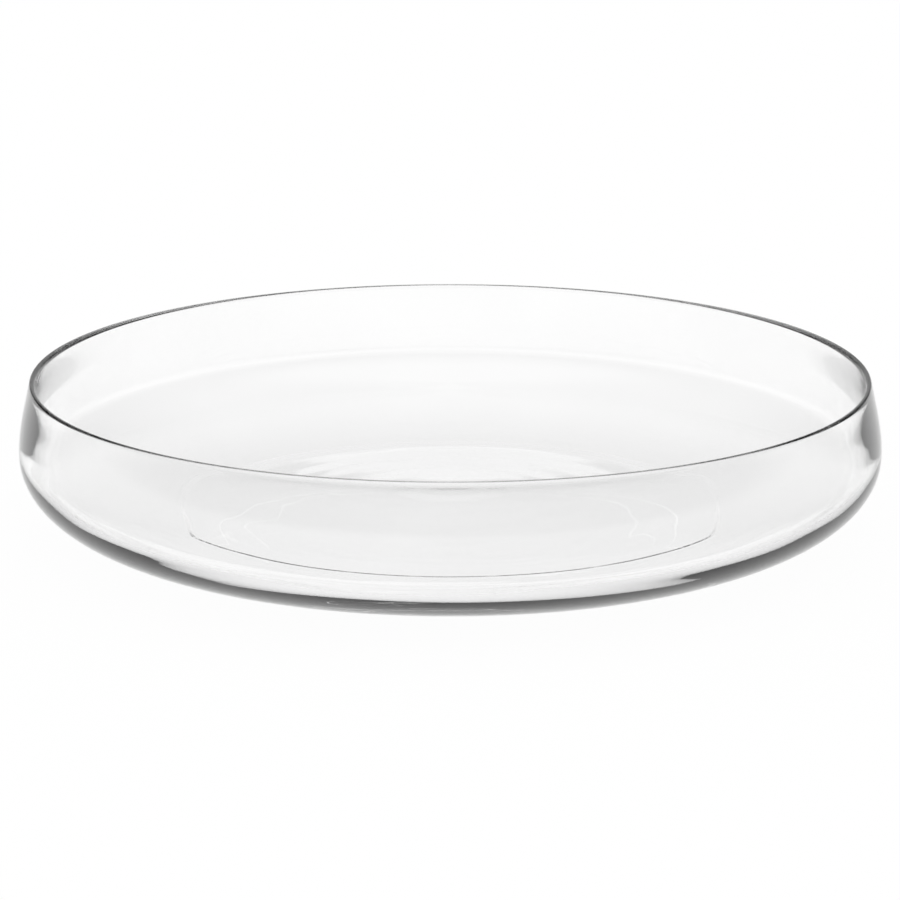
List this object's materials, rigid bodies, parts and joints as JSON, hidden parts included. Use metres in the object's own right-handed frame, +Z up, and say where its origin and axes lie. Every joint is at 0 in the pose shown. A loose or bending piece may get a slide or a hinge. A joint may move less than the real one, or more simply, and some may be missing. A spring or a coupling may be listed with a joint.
{
  "type": "glass bowl",
  "caption": "Wide shallow clear glass bowl: side bulging out below a thin drawn-in lip, rounded lower body, flat foot ring and a base pushed up in the middle.",
  "frame": {"origin": "on the table, at the centre of the foot ring that the bowl stands on", "axes": "+Z up, along the bowl's axis of turning; the bowl is round, so X and Y are any two level directions"},
  "size_m": [0.3, 0.3, 0.055],
  "materials": {
    "clear_glass": "clear, blown, fire-polished"
  },
  "bodies": {
    "root": {"glass_bowl": "clear_glass"}
  },
  "joints": []
}
